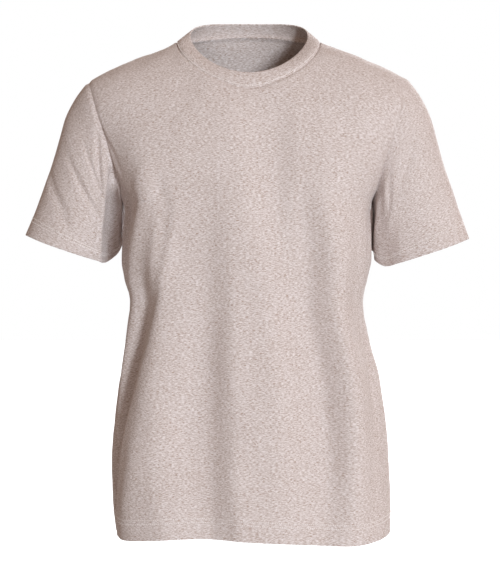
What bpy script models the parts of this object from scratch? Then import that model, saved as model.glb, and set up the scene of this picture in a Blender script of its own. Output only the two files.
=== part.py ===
"""Crew neck t-shirt in its worn shape: front, back, two set-in sleeves and a neck band.

Metres, +Z up. The front faces -Y and the wearer's left is +X. Height 0 is where the inner edge
of the neck band passes over the shoulders. Every piece is an open cloth wall with its own edges.
"""
import math

import bpy
import numpy as np

# Cloth walls
WALL = 0.0015
HEM_WALL = 0.0023
BAND_WALL = 0.0022
SEAM_GAP = 0.0003

# Heights
SHOULDER_TIP_HEIGHT = -0.0665
UNDERARM_HEIGHT = -0.236
HEM_DEPTH = 0.027

# Neckline seam: half width, height at the shoulders, drop at the front, rise at the back
NECK_HALF_WIDTH = 0.103
NECK_SIDE_HEIGHT = -0.010
NECK_DROP = 0.070
NECK_CURVE = 1.6
NECK_RISE = 0.013

# Inner edge of the neck band: half width, depth, middle, and heights front and back
BAND_HALF_WIDTH = 0.084
BAND_DEPTH = 0.076
BAND_MIDDLE = -0.002
BAND_FRONT_HEIGHT = -0.059
BAND_BACK_HEIGHT = 0.022
BAND_CROWN = 0.0012

# Level rings of the body, top to bottom. Below the shoulder tips and above the underarms a ring
# runs on past the armholes, which cut it. Squareness 2 is an ellipse, more is squarer.
RING_COLUMNS = ("height", "right", "left", "front", "back", "square")
RINGS = np.array([
    (0.020, 0.0780, 0.0780, 0.032, 0.074, 2.10),
    (-0.010, 0.1040, 0.1020, 0.046, 0.082, 2.10),
    (-0.035, 0.1620, 0.1660, 0.064, 0.090, 2.15),
    (-0.0665, 0.2280, 0.2270, 0.081, 0.097, 2.20),
    (-0.080, 0.2410, 0.2410, 0.087, 0.100, 2.25),
    (-0.100, 0.2460, 0.2470, 0.096, 0.104, 2.30),
    (-0.125, 0.2400, 0.2400, 0.105, 0.108, 2.30),
    (-0.150, 0.2260, 0.2250, 0.112, 0.111, 2.35),
    (-0.201, 0.1972, 0.1942, 0.121, 0.112, 2.40),
    (-0.220, 0.1872, 0.1842, 0.123, 0.111, 2.40),
    (-0.236, 0.1785, 0.1755, 0.124, 0.110, 2.40),
    (-0.250, 0.1762, 0.1728, 0.1243, 0.109, 2.40),
    (-0.268, 0.1776, 0.1734, 0.1245, 0.107, 2.40),
    (-0.290, 0.1788, 0.1738, 0.124, 0.105, 2.40),
    (-0.315, 0.1798, 0.1738, 0.1228, 0.102, 2.40),
    (-0.345, 0.1765, 0.1675, 0.121, 0.097, 2.40),
    (-0.378, 0.1690, 0.1610, 0.119, 0.094, 2.40),
    (-0.425, 0.1745, 0.1680, 0.118, 0.093, 2.40),
    (-0.485, 0.1830, 0.1830, 0.118, 0.096, 2.40),
    (-0.540, 0.1900, 0.1895, 0.118, 0.102, 2.40),
    (-0.600, 0.1945, 0.1950, 0.1185, 0.108, 2.40),
    (-0.655, 0.1945, 0.1975, 0.119, 0.112, 2.40),
    (-0.715, 0.1905, 0.1990, 0.118, 0.113, 2.40),
])

# Height of the hem round the body, over degrees from the middle of the front.
HEM_COLUMNS = ("angle", "height")
HEM_LINE = np.array([
    (-180, -0.7060),
    (-130, -0.7070),
    (-95, -0.7035),
    (-78, -0.7060),
    (-57, -0.7110),
    (-22, -0.7065),
    (10, -0.7115),
    (43, -0.7165),
    (62, -0.7110),
    (80, -0.7035),
    (100, -0.7010),
    (140, -0.7050),
    (180, -0.7060),
])

# Largest folds of the body. Angles are degrees round the body from the middle of the front,
# positive to the wearer's left; a rise below zero is a trough.
FOLD_COLUMNS = ("top_angle", "top", "bottom_angle", "bottom", "bow", "width", "rise")
BODY_FOLDS = np.array([
    (-43, -0.240, -68, -0.780, 11, 0.024, 0.0060),
    (-47, -0.235, -98, -0.800, 1, 0.021, -0.0140),
    (-19, -0.170, -10, -1.000, -4, 0.027, -0.0130),
    (14, -0.150, 24, -0.800, 11, 0.026, -0.0120),
    (33, -0.150, 41, -0.780, 9, 0.020, 0.0085),
    (-41, -0.120, -64, -0.420, 2, 0.024, 0.0070),
    (84, -0.380, 78, -0.760, 0, 0.022, 0.0035),
    (126, -0.260, 142, -0.800, 4, 0.024, -0.0080),
    (-122, -0.240, -146, -0.800, -4, 0.024, -0.0080),
    (172, -0.200, 178, -0.560, 0, 0.036, -0.0060),
])

# Sections of the sleeves, shoulder to cuff: the outermost and innermost point, how far the
# cloth stands to the front and back, and how far the section hangs between those points.
SLEEVE_COLUMNS = ("outer", "outer_height", "inner", "inner_height", "front", "back", "hang")
SLEEVE_RIGHT = np.array([
    (0.2280, -0.0665, 0.1785, -0.236, 0.058, 0.060, 0.000),
    (0.2440, -0.0880, 0.1796, -0.246, 0.060, 0.061, 0.003),
    (0.2590, -0.1180, 0.1800, -0.255, 0.060, 0.060, 0.007),
    (0.2685, -0.1500, 0.1801, -0.263, 0.060, 0.058, 0.012),
    (0.2790, -0.1830, 0.1801, -0.271, 0.059, 0.055, 0.017),
    (0.2915, -0.2160, 0.1800, -0.279, 0.058, 0.052, 0.022),
    (0.3040, -0.2500, 0.1800, -0.286, 0.057, 0.050, 0.027),
    (0.3175, -0.2830, 0.1800, -0.293, 0.056, 0.048, 0.032),
])
SLEEVE_LEFT = np.array([
    (0.2270, -0.0665, 0.1755, -0.236, 0.058, 0.060, 0.000),
    (0.2430, -0.0890, 0.1762, -0.246, 0.060, 0.061, 0.003),
    (0.2570, -0.1180, 0.1763, -0.256, 0.060, 0.060, 0.006),
    (0.2660, -0.1500, 0.1760, -0.266, 0.060, 0.058, 0.011),
    (0.2755, -0.1830, 0.1756, -0.275, 0.059, 0.055, 0.015),
    (0.2880, -0.2180, 0.1752, -0.284, 0.058, 0.052, 0.019),
    (0.2995, -0.2520, 0.1748, -0.293, 0.057, 0.050, 0.024),
    (0.3125, -0.2880, 0.1745, -0.302, 0.056, 0.048, 0.028),
])
SLEEVE_CREST = 0.62
SLEEVE_OUTER_ROUND = 2.0
SLEEVE_INNER_ROUND = 2.6
SLEEVE_LEAN = 0.040
SLEEVE_BACK_HANG = 0.30
# Share of the hang over the way from the outermost to the innermost point.
HANG_COLUMNS = ("along", "share")
SLEEVE_HANG = np.array([
    (0.00, 0.00),
    (0.20, 0.30),
    (0.50, 0.65),
    (0.72, 0.88),
    (0.86, 1.00),
    (0.94, 0.62),
    (1.00, 0.00),
])
SLEEVE_SETTLE = 0.25
CUFF_DEPTH = 0.024

# Mesh steps
NECK_STEPS = 7
SHOULDER_STEPS = 8
ARMHOLE_STEPS = 11
SIDE_STEPS = 14
SLEEVE_STEPS = 8

RIGHT = -1
LEFT = 1

# Beside the body the front of each sleeve turns in: where on the way inward, and by what share.
TUCK_START = 0.80
TUCK_END = 0.93
TUCK = {RIGHT: 0.80, LEFT: 0.15}

RING_SIDE = {RIGHT: "right", LEFT: "left"}
FACING = {"front": -1, "back": 1}


def curve(keys, values, at):
    """Smooth curve through a table's rows that never overshoots them."""
    order = np.argsort(keys)
    keys = np.asarray(keys, float)[order]
    values = np.asarray(values, float)[order]
    steps = np.diff(keys)
    slopes = np.diff(values) / steps
    same_way = slopes[:-1] * slopes[1:] > 0
    total = np.where(same_way, slopes[:-1] + slopes[1:], 1.0)
    inner = np.where(same_way, 2 * slopes[:-1] * slopes[1:] / total, 0.0)
    tangents = np.concatenate(([slopes[0]], inner, [slopes[-1]]))
    at = np.clip(at, keys[0], keys[-1])
    row = np.clip(np.searchsorted(keys, at) - 1, 0, len(steps) - 1)
    h = steps[row]
    t = (at - keys[row]) / h
    ends = (2 * t ** 3 - 3 * t ** 2 + 1) * values[row] + (3 * t ** 2 - 2 * t ** 3) * values[row + 1]
    bends = (t ** 3 - 2 * t ** 2 + t) * tangents[row] + (t ** 3 - t ** 2) * tangents[row + 1]
    return ends + h * bends


def ring(name, height):
    """One size of the level ring at a height."""
    return curve(RINGS[:, 0], RINGS[:, RING_COLUMNS.index(name)], height)


def depth(face, side, x, height):
    """How far the cloth stands in front of, or behind, the shoulder line."""
    square = ring("square", height)
    share = np.clip(np.abs(x) / ring(RING_SIDE[side], height), 0, 1)
    return ring(face, height) * (1 - share ** square) ** (1 / square)


def on_body(face, side, x, height):
    """Points of the body cloth at distances x from the middle."""
    y = FACING[face] * depth(face, side, x, height)
    return np.stack(np.broadcast_arrays(side * x, y, height), axis=-1)


def hem_height(angle):
    """Height of the hem's edge round the body, lowest at the wearer's front left."""
    return curve(HEM_LINE[:, 0], HEM_LINE[:, 1], np.degrees(angle))


def neck_height(face, x):
    """Height of the neckline seam over its distance from the middle."""
    share = np.clip(np.abs(x) / NECK_HALF_WIDTH, 0, 1)
    if face == "front":
        return NECK_SIDE_HEIGHT - NECK_DROP * (1 - share ** NECK_CURVE) ** (1 / NECK_CURVE)
    return NECK_SIDE_HEIGHT + NECK_RISE * (1 - share ** 2)


def top_edge(face, side):
    """Distance and height along the neckline, then along the shoulder seam."""
    turn = np.linspace(0, math.pi / 2, NECK_STEPS + 1)
    neck_end = float(ring(RING_SIDE[side], NECK_SIDE_HEIGHT))
    neck_x = neck_end * np.sin(turn)
    neck_z = neck_height(face, neck_x * NECK_HALF_WIDTH / neck_end)
    seam_z = np.linspace(NECK_SIDE_HEIGHT, SHOULDER_TIP_HEIGHT, SHOULDER_STEPS + 1)[1:]
    seam_x = ring(RING_SIDE[side], seam_z)
    return np.stack((np.append(neck_x, seam_x), np.append(neck_z, seam_z)), axis=-1)


def armhole_edge(side):
    """Distance and height down the armhole, which lies in one slanting plane."""
    fall = (1 - np.cos(np.linspace(0, math.pi, ARMHOLE_STEPS + 1))) / 2
    tip = float(ring(RING_SIDE[side], SHOULDER_TIP_HEIGHT))
    underarm = float(ring(RING_SIDE[side], UNDERARM_HEIGHT))
    x = tip + (underarm - tip) * fall
    z = SHOULDER_TIP_HEIGHT + (UNDERARM_HEIGHT - SHOULDER_TIP_HEIGHT) * fall
    return np.stack((x, z), axis=-1), fall


def across_ring(side, height, turn):
    """Distances from the middle at turns round a quarter of a ring."""
    square = ring("square", height)
    reach = (np.sin(turn) ** square + np.cos(turn) ** square) ** (-1 / square)
    return ring(RING_SIDE[side], height) * reach * np.sin(turn)


def half_panel(face, side):
    """Outline grid of half a body panel, middle to side and top to hem: distance and height."""
    top = top_edge(face, side)
    outer, fall = armhole_edge(side)
    columns = len(top)
    turn = np.linspace(0, math.pi / 2, columns)
    chest = np.stack((across_ring(side, UNDERARM_HEIGHT, turn),
                      np.full(columns, UNDERARM_HEIGHT)), axis=-1)
    middle = np.stack((np.zeros(len(fall)),
                       top[0, 1] + (UNDERARM_HEIGHT - top[0, 1]) * fall), axis=-1)
    u = np.linspace(0, 1, columns)[None, :, None]
    v = fall[:, None, None]
    rows = (1 - v) * top[None] + v * chest[None]
    columns_part = (1 - u) * middle[:, None] + u * outer[:, None]
    corners = ((1 - v) * ((1 - u) * top[0] + u * top[-1]) + v * ((1 - u) * chest[0] + u * chest[-1]))
    yoke = rows + columns_part - corners

    around = side * turn if face == "front" else side * (math.pi - turn)
    low = hem_height(around)
    shares = np.append(np.linspace(0, 1, SIDE_STEPS)[1:], 1.0)
    skirt = []
    for step, share in enumerate(shares):
        height = UNDERARM_HEIGHT + (low + HEM_DEPTH - UNDERARM_HEIGHT) * share
        if step == len(shares) - 1:
            height = low
        skirt.append(np.stack((across_ring(side, height, turn), height), axis=-1))
    return np.concatenate((yoke, np.array(skirt)))


def soft_bump(across, width):
    """A rounded rise that ends exactly at twice its width."""
    share = np.clip(np.abs(across) / (2 * width), 0, 1)
    return np.cos(share * math.pi / 2) ** 2


def body_fold(points):
    """How far the folds push each body point out."""
    height = points[..., 2]
    half = np.where(points[..., 0] < 0, ring("right", height), ring("left", height))
    reach = np.where(points[..., 1] < 0, ring("front", height), ring("back", height))
    angle = np.degrees(np.arctan2(points[..., 0] / half, -points[..., 1] / reach))
    per_degree = math.radians(1) * (half + reach) / 2
    push = np.zeros(height.shape)
    for row in BODY_FOLDS:
        fold = dict(zip(FOLD_COLUMNS, row))
        share = (height - fold["top"]) / (fold["bottom"] - fold["top"])
        line = fold["top_angle"] + (fold["bottom_angle"] - fold["top_angle"]) * share
        line = line + fold["bow"] * 4 * share * (1 - share)
        aside = (angle - line + 180) % 360 - 180
        length = np.where((share > 0) & (share < 1), np.sin(math.pi * np.clip(share, 0, 1)), 0)
        push += fold["rise"] * soft_bump(aside * per_degree, fold["width"]) * length
    return push


def unit(vectors):
    """The same directions at length 1."""
    return vectors / np.maximum(np.linalg.norm(vectors, axis=-1, keepdims=True), 1e-12)


def grid_normals(points, closed=False):
    """Outward directions of a grid whose rows run down and whose columns run with the front."""
    down = np.gradient(points, axis=0)
    if closed:
        along = np.roll(points, -1, axis=1) - np.roll(points, 1, axis=1)
    else:
        along = np.gradient(points, axis=1)
    return unit(np.cross(down, along))


def body_panel(face):
    """A whole front or back, its columns running with the outside to their left."""
    halves = {}
    for side in (RIGHT, LEFT):
        outline = half_panel(face, side)
        halves[side] = on_body(face, side, outline[..., 0], outline[..., 1])
    first, second = (RIGHT, LEFT) if face == "front" else (LEFT, RIGHT)
    points = np.concatenate((halves[first][:, :0:-1], halves[second]), axis=1)
    push = body_fold(points)
    return points + grid_normals(points) * push[..., None]


def sleeve_section(table, name, share):
    """One size of a sleeve section at a share of the way to the cuff."""
    return curve(np.linspace(0, 1, len(table)), table[:, SLEEVE_COLUMNS.index(name)], share)


def sleeve_shares():
    """Rows of a sleeve, with one at the top of the cuff's turned hem."""
    length = float(np.hypot(*(SLEEVE_RIGHT[-1, :2] - SLEEVE_RIGHT[0, :2])))
    return np.append(np.linspace(0, 1 - CUFF_DEPTH / length, SLEEVE_STEPS), 1.0)


def sleeve_stand(along):
    """Share of the greatest stand, over the way from the outermost to the innermost point."""
    outside = np.clip((SLEEVE_CREST - along) / SLEEVE_CREST, 0, 1)
    inside = np.clip((along - SLEEVE_CREST) / (1 - SLEEVE_CREST), 0, 1)
    outer_part = (1 - outside ** SLEEVE_OUTER_ROUND) ** (1 / SLEEVE_OUTER_ROUND)
    inner_part = (1 - inside ** SLEEVE_INNER_ROUND) ** (1 / SLEEVE_INNER_ROUND)
    return outer_part * inner_part


def sleeve_tuck(side, along):
    """Share of the front stand that is left where the cloth turns in beside the body."""
    turned = np.clip((along - TUCK_START) / (TUCK_END - TUCK_START), 0, 1)
    return 1 - TUCK[side] * turned * turned * (3 - 2 * turned)


def sleeve(side, armhole):
    """A sleeve from the armhole's own points to the cuff, columns round the arm."""
    table = SLEEVE_RIGHT if side == RIGHT else SLEEVE_LEFT
    turn = np.linspace(0, 2 * math.pi, 2 * ARMHOLE_STEPS, endpoint=False)
    facing = np.sign(np.sin(turn).round(9)) * side
    along = (1 - np.cos(turn)) / 2
    droop = curve(SLEEVE_HANG[:, 0], SLEEVE_HANG[:, 1], along)
    droop = np.where(facing < 0, droop, SLEEVE_BACK_HANG * droop)
    share_left = np.where(facing < 0, sleeve_tuck(side, along), 1.0)
    rows = [armhole]
    for share in sleeve_shares()[1:]:
        size = {name: float(sleeve_section(table, name, share)) for name in SLEEVE_COLUMNS}
        settle = min(1.0, share / SLEEVE_SETTLE)
        settle = settle * settle * (3 - 2 * settle)
        x = size["outer"] + (size["inner"] - size["outer"]) * along
        z = size["outer_height"] + (size["inner_height"] - size["outer_height"]) * along
        stand = np.where(facing < 0, size["front"], size["back"]) * sleeve_stand(along) * share_left
        y = facing * stand + SLEEVE_LEAN * share * along ** 2
        y = (1 - settle) * armhole[:, 1] + settle * y
        z = z - size["hang"] * droop
        rows.append(np.stack((side * x, y, z), axis=-1))
    return np.array(rows)


def band(seam):
    """The neck band, from the neckline's own points in to its free edge."""
    quarter = np.linspace(0, math.pi / 2, NECK_STEPS + 1)
    turn = np.concatenate((quarter, math.pi - quarter[-2::-1]))
    turn = np.concatenate((turn, 2 * math.pi - turn[-2:0:-1]))
    swing = (BAND_BACK_HEIGHT - BAND_FRONT_HEIGHT) / 2
    twist = (BAND_BACK_HEIGHT + BAND_FRONT_HEIGHT) / 4
    edge = np.stack((BAND_HALF_WIDTH * np.sin(turn),
                     BAND_MIDDLE - BAND_DEPTH * np.cos(turn),
                     twist - swing * np.cos(turn) + twist * np.cos(2 * turn)), axis=-1)
    outward = unit(np.cross(np.roll(seam, -1, axis=0) - np.roll(seam, 1, axis=0), edge - seam))
    middle = (seam + edge) / 2 + outward * BAND_CROWN
    return np.array([edge, middle, seam])


def seam_direction(loop, cloth, other):
    """The way to the outside along a seam, halfway between the cloths that it joins.

    loop runs so that the first cloth's inside lies at normal x tangent.
    """
    tangent = unit(np.roll(loop, -1, axis=0) - np.roll(loop, 1, axis=0))
    into_cloth = np.cross(cloth, tangent)
    into_other = np.cross(tangent, other)
    bend = np.sign(np.sum(cloth * into_other, axis=-1, keepdims=True))
    outside = unit(cloth + other + bend * (into_cloth + into_other))
    return outside, np.cross(outside, tangent)


def make_wall(name, outer, outward, wall, closed, colour):
    """A closed solid between a grid and the same grid moved in by the wall."""
    rows, columns = outer.shape[:2]
    inner = outer - outward * wall[:, None, None]
    points = np.concatenate((outer.reshape(-1, 3), inner.reshape(-1, 3)))
    across = columns if closed else columns - 1

    def at(row, column, layer):
        return layer * rows * columns + row * columns + column % columns

    faces = []
    for row in range(rows - 1):
        for column in range(across):
            faces.append((at(row, column, 0), at(row + 1, column, 0),
                          at(row + 1, column + 1, 0), at(row, column + 1, 0)))
            faces.append((at(row, column, 1), at(row, column + 1, 1),
                          at(row + 1, column + 1, 1), at(row + 1, column, 1)))
    for column in range(across):
        faces.append((at(0, column, 0), at(0, column + 1, 0), at(0, column + 1, 1), at(0, column, 1)))
        last = rows - 1
        faces.append((at(last, column, 0), at(last, column, 1),
                      at(last, column + 1, 1), at(last, column + 1, 0)))
    if not closed:
        for row in range(rows - 1):
            end = columns - 1
            faces.append((at(row, 0, 0), at(row, 0, 1), at(row + 1, 0, 1), at(row + 1, 0, 0)))
            faces.append((at(row, end, 0), at(row + 1, end, 0), at(row + 1, end, 1), at(row, end, 1)))

    mesh = bpy.data.meshes.new(name)
    mesh.from_pydata(points.tolist(), [], faces)
    mesh.shade_smooth()
    mesh.set_sharp_from_angle(angle=math.radians(50))
    mesh.materials.append(cloth_material(name, colour))
    piece = bpy.data.objects.new(name, mesh)
    bpy.context.scene.collection.objects.link(piece)
    return piece


def cloth_material(name, colour):
    """Matt jersey."""
    material = bpy.data.materials.new(name + "_jersey")
    material.use_nodes = True
    shader = material.node_tree.nodes["Principled BSDF"]
    shader.inputs["Base Color"].default_value = (*colour, 1.0)
    shader.inputs["Roughness"].default_value = 0.9
    shader.inputs["Metallic"].default_value = 0.0
    return material


def row_walls(rows):
    """Wall of each row of a panel or sleeve, thicker where the hem is turned up."""
    walls = np.full(rows, WALL)
    walls[-2:] = HEM_WALL
    return walls


def main():
    for old in list(bpy.data.objects):
        bpy.data.objects.remove(old, do_unlink=True)

    grids = {face: body_panel(face) for face in FACING}
    outward = {face: grid_normals(grid) for face, grid in grids.items()}
    last = grids["front"].shape[1] - 1
    edge = {("front", RIGHT): 0, ("front", LEFT): last, ("back", LEFT): 0, ("back", RIGHT): last}
    half_gap = SEAM_GAP / 2
    shifts = {face: np.zeros(grid.shape) for face, grid in grids.items()}

    # Shoulder and side seams lie in the plane of the shoulder line, and both cloths share them.
    for side in (RIGHT, LEFT):
        for row in range(grids["front"].shape[0]):
            if row >= ARMHOLE_STEPS:
                share_seam(grids, outward, shifts, row, edge["front", side], edge["back", side])
        for step in range(SHOULDER_STEPS + 1):
            inward = {face: abs(edge[face, side] - step) for face in FACING}
            share_seam(grids, outward, shifts, 0, inward["front"], inward["back"])

    # Armholes: each sleeve starts from the body's own points.
    sleeves = {}
    for side in (RIGHT, LEFT):
        first, second = ("front", "back") if side == RIGHT else ("back", "front")
        keys = [(first, row) for row in range(ARMHOLE_STEPS)]
        keys += [(second, row) for row in range(ARMHOLE_STEPS, 0, -1)]
        loop = np.array([grids[face][row, edge[face, side]] for face, row in keys])
        body_out = np.array([outward[face][row, edge[face, side]] for face, row in keys])
        points = sleeve(side, loop)
        around = grid_normals(points, closed=True)
        outside, apart = seam_direction(loop, body_out, around[0])
        around[0] = outside
        points[0] = points[0] - apart * half_gap
        sleeves[side] = (points, around)
        for (face, row), out, away in zip(keys, outside, apart):
            shared = FACING if row in (0, ARMHOLE_STEPS) else (face,)
            for each in shared:
                outward[each][row, edge[each, side]] = out
                shifts[each][row, edge[each, side]] += away * half_gap

    # Neckline: the band starts from the body's own points, front middle to the wearer's left.
    middle = last // 2
    keys = [("front", middle + step) for step in range(NECK_STEPS)]
    keys += [("back", middle - step) for step in range(NECK_STEPS, 0, -1)]
    keys += [("back", middle + step) for step in range(NECK_STEPS)]
    keys += [("front", middle - step) for step in range(NECK_STEPS, 0, -1)]
    seam = np.array([grids[face][0, column] for face, column in keys])
    body_out = np.array([outward[face][0, column] for face, column in keys])
    band_points = band(seam)
    band_out = grid_normals(band_points, closed=True)
    back_round = seam_direction(seam[::-1], body_out[::-1], band_out[-1][::-1])
    outside, apart = back_round[0][::-1], back_round[1][::-1]
    band_out[-1] = outside
    band_points[-1] = band_points[-1] - apart * half_gap
    for (face, column), out, away in zip(keys, outside, apart):
        at_shoulder = abs(column - middle) == NECK_STEPS
        for each in FACING if at_shoulder else (face,):
            where = column if each == face else last - column
            outward[each][0, where] = out
            shifts[each][0, where] += away * half_gap

    colour = (0.60, 0.52, 0.50)
    for face in FACING:
        make_wall(face, grids[face] + shifts[face], outward[face],
                  row_walls(len(grids[face])), False, colour)
    for side, name in ((RIGHT, "sleeve_right"), (LEFT, "sleeve_left")):
        points, around = sleeves[side]
        make_wall(name, points, around, row_walls(len(points)), True, colour)
    make_wall("collar", band_points, band_out, np.full(len(band_points), BAND_WALL), True, colour)


def share_seam(grids, outward, shifts, row, front_column, back_column):
    """One outward direction for both cloths of a seam, and half the gap on each side."""
    columns = {"front": front_column, "back": back_column}
    both = sum(outward[face][row, column] for face, column in columns.items())
    both[1] = 0.0
    meet = sum(grids[face][row, column] for face, column in columns.items()) / 2
    for face, column in columns.items():
        outward[face][row, column] = unit(both)
        grids[face][row, column] = meet
        shifts[face][row, column, 1] = FACING[face] * SEAM_GAP / 2


main()
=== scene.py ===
# %% [markdown]
# # A worn crew neck t-shirt, with no one in it
# This lesson builds a short-sleeved jersey shirt as a hollow shell: a front, a back, two set-in
# sleeves and a neck band, sewn together and hanging as they would on a wearer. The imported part
# gives the true sizes. Here each cloth wall is made again, finer, and gets its creases, its
# turned hems, its stitches and its heather knit.

# %% Load the part and keep its box
import math

import bpy
import numpy as np
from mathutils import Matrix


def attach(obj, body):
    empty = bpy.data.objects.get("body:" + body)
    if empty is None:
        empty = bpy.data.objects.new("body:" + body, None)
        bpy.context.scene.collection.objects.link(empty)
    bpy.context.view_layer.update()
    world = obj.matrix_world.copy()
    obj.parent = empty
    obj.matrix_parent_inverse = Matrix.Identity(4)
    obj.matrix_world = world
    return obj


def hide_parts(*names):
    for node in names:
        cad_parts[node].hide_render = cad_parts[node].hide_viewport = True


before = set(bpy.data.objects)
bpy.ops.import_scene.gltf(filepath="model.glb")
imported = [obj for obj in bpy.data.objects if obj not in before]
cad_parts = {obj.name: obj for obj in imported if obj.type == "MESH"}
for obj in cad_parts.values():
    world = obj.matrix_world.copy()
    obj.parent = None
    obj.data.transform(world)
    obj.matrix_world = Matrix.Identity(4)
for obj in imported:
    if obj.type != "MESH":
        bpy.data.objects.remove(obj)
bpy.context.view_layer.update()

# %% [markdown]
# ## Shaders written as sums
# A small class wraps a socket, so that a pattern reads like the sum it is. Numbers go through
# Math nodes; any other node comes from one method that takes its type, settings and inputs.

# %% Wires
class Wire:
    """A number from a shader tree, with + - * / on it."""

    def __init__(self, tree, socket):
        self.tree = tree
        self.socket = socket

    def node(self, kind, settings=None, output=0, **inputs):
        """Any node: its settings first, then values or wires for its named inputs."""
        made = self.tree.nodes.new(kind)
        for name, value in (settings or {}).items():
            setattr(made, name, value)
        for name, value in inputs.items():
            key = int(name[1:]) if name[0] == "_" else name.replace("_", " ")
            if isinstance(value, Wire):
                self.tree.links.new(value.socket, made.inputs[key])
            else:
                made.inputs[key].default_value = value
        return None if output is None else Wire(self.tree, made.outputs[output])

    def math(self, operation, *others):
        """A Math node with this wire first."""
        inputs = {"_" + str(number + 1): other for number, other in enumerate(others)}
        return self.node("ShaderNodeMath", {"operation": operation}, _0=self, **inputs)

    def __add__(self, other):
        return self.math("ADD", other)

    def __sub__(self, other):
        return self.math("SUBTRACT", other)

    def __mul__(self, other):
        return self.math("MULTIPLY", other)

    def __truediv__(self, other):
        return self.math("DIVIDE", other)

    def __rsub__(self, other):
        return (self * -1.0) + other

    __radd__ = __add__
    __rmul__ = __mul__

    def output(self, number):
        """Another output of the node that this wire comes from."""
        return Wire(self.tree, self.socket.node.outputs[number])

    def blend(self, low, high):
        """From colour low to colour high as this goes from 0 to 1."""
        return self.node("ShaderNodeMix", {"data_type": "RGBA"}, output=2, _0=self, _6=low, _7=high)

    def ramp(self, low, high):
        """0 at low and 1 at high, smooth and held between them."""
        return self.node("ShaderNodeMapRange", {"interpolation_type": "SMOOTHSTEP"}, Value=self,
                         From_Min=low, From_Max=high)


def put(name, data):
    """A new object in the scene."""
    made = bpy.data.objects.new(name, data)
    bpy.context.scene.collection.objects.link(made)
    return made


# %% [markdown]
# ## The room, the light and the camera
# A shirt is best seen from chest height, a few steps away, through a long lens and on white. One
# broad light, low and a little to the right, models the cloth, and a weaker one behind does the
# same for the back. A warm, weak light from all round fills the shade, and least of all from the
# left, so that side falls dark. It could all be one bright sky, but then no fold would show.

# %% Camera
SHIRT_MIDDLE = -0.366
CAMERA_ASIDE = 0.0014
CAMERA_DISTANCE = 4.0
VIEW_HEIGHT = 0.832
SENSOR = 36.0
camera_data = bpy.data.cameras.new("camera")
camera_data.sensor_width = SENSOR
camera_data.lens = SENSOR * CAMERA_DISTANCE / VIEW_HEIGHT
camera = put("camera", camera_data)
camera.location = (CAMERA_ASIDE, -CAMERA_DISTANCE, SHIRT_MIDDLE)
camera.rotation_euler = (math.radians(90), 0, 0)
bpy.context.scene.camera = camera
bpy.context.scene.view_settings.view_transform = "Standard"
print("lens", round(camera_data.lens, 1), "mm")

# %% World: white to the eye, a soft warm fill on the cloth
FILL_DIM = (0.258, 0.176, 0.120, 1)
FILL_BRIGHT = (0.730, 0.572, 0.478, 1)
FILL_ACROSS = 0.85
FILL_BACK = 0.50
FILL_EDGE = 0.80
world = bpy.data.worlds.new("studio")
bpy.context.scene.world = world
world.use_nodes = True
world.node_tree.nodes.clear()
sky = Wire(world.node_tree, None)
toward = sky.node("ShaderNodeTexCoord")
across = toward.node("ShaderNodeSeparateXYZ", Vector=toward)
back = across.output(1)
fill = (across * FILL_ACROSS + back * FILL_BACK).ramp(-FILL_EDGE, FILL_EDGE).blend(FILL_DIM, FILL_BRIGHT)
white = sky.node("ShaderNodeBackground", Color=(1, 1, 1, 1))
shade = sky.node("ShaderNodeBackground", Color=fill)
seen = sky.node("ShaderNodeLightPath")
chosen = seen.node("ShaderNodeMixShader", _0=seen, _1=shade, _2=white)
chosen.node("ShaderNodeOutputWorld", output=None, Surface=chosen)
print("world nodes", len(world.node_tree.nodes))

# %% Two soft suns
SUNS = {  # heading and height in degrees, strength, spread in degrees, colour
    "key": (22, 6, 2.90, 11, (0.82, 0.925, 1.0)),
    "behind": (160, 22, 2.7, 20, (0.84, 0.93, 1.0)),
}
for name, (heading, height, strength, spread, colour) in SUNS.items():
    sun = bpy.data.lights.new(name, "SUN")
    sun.energy = strength
    sun.angle = math.radians(spread)
    sun.color = colour
    put(name, sun).rotation_euler = (math.radians(90 - height), 0, math.radians(heading))
    print("sun", name, "heading", heading, "height", height)

# %% [markdown]
# ## Floor
# A plain pale floor far below the hem. It sends a little light up, as any painted floor does. To
# the eye it also glows, and more with distance, until it is as white as the room, so that there
# is no horizon. A white backdrop would do as well, but it would have to be bent by hand.

# %% Floor
FLOOR_HEIGHT = -1.46
FLOOR_REACH = 60.0
FLOOR_PAINT = (0.62, 0.64, 0.66, 1)
FLOOR_GLOW_NEAR = (0.26, 0.28, 0.30, 1)
FLOOR_GLOW_FAR = (0.86, 0.88, 0.90, 1)
FLOOR_FADE = (1.6, 6.5)
corners = [(-1, -1), (1, -1), (1, 1), (-1, 1)]
floor_mesh = bpy.data.meshes.new("floor")
floor_mesh.from_pydata([(x * FLOOR_REACH, y * FLOOR_REACH, FLOOR_HEIGHT) for x, y in corners], [],
                       [(0, 1, 2, 3)])
floor = put("floor", floor_mesh)
floor_paint = bpy.data.materials.new("floor_paint")
floor_paint.use_nodes = True
floor_shader = floor_paint.node_tree.nodes["Principled BSDF"]
floor_shader.inputs["Base Color"].default_value = FLOOR_PAINT
floor_shader.inputs["Roughness"].default_value = 0.9
floor_shader.inputs["Emission Strength"].default_value = 1.0
room = Wire(floor_paint.node_tree, None)
place = room.node("ShaderNodeNewGeometry")
away = place.node("ShaderNodeVectorMath", {"operation": "LENGTH"}, output=1, _0=place)
seen = room.node("ShaderNodeLightPath")
paint = away.ramp(*FLOOR_FADE).blend(FLOOR_GLOW_NEAR, FLOOR_GLOW_FAR)
glow = seen.blend((0, 0, 0, 1), paint)
floor_paint.node_tree.links.new(glow.socket, floor_shader.inputs["Emission Color"])
floor_mesh.materials.append(floor_paint)
print("floor at", FLOOR_HEIGHT)

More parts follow.
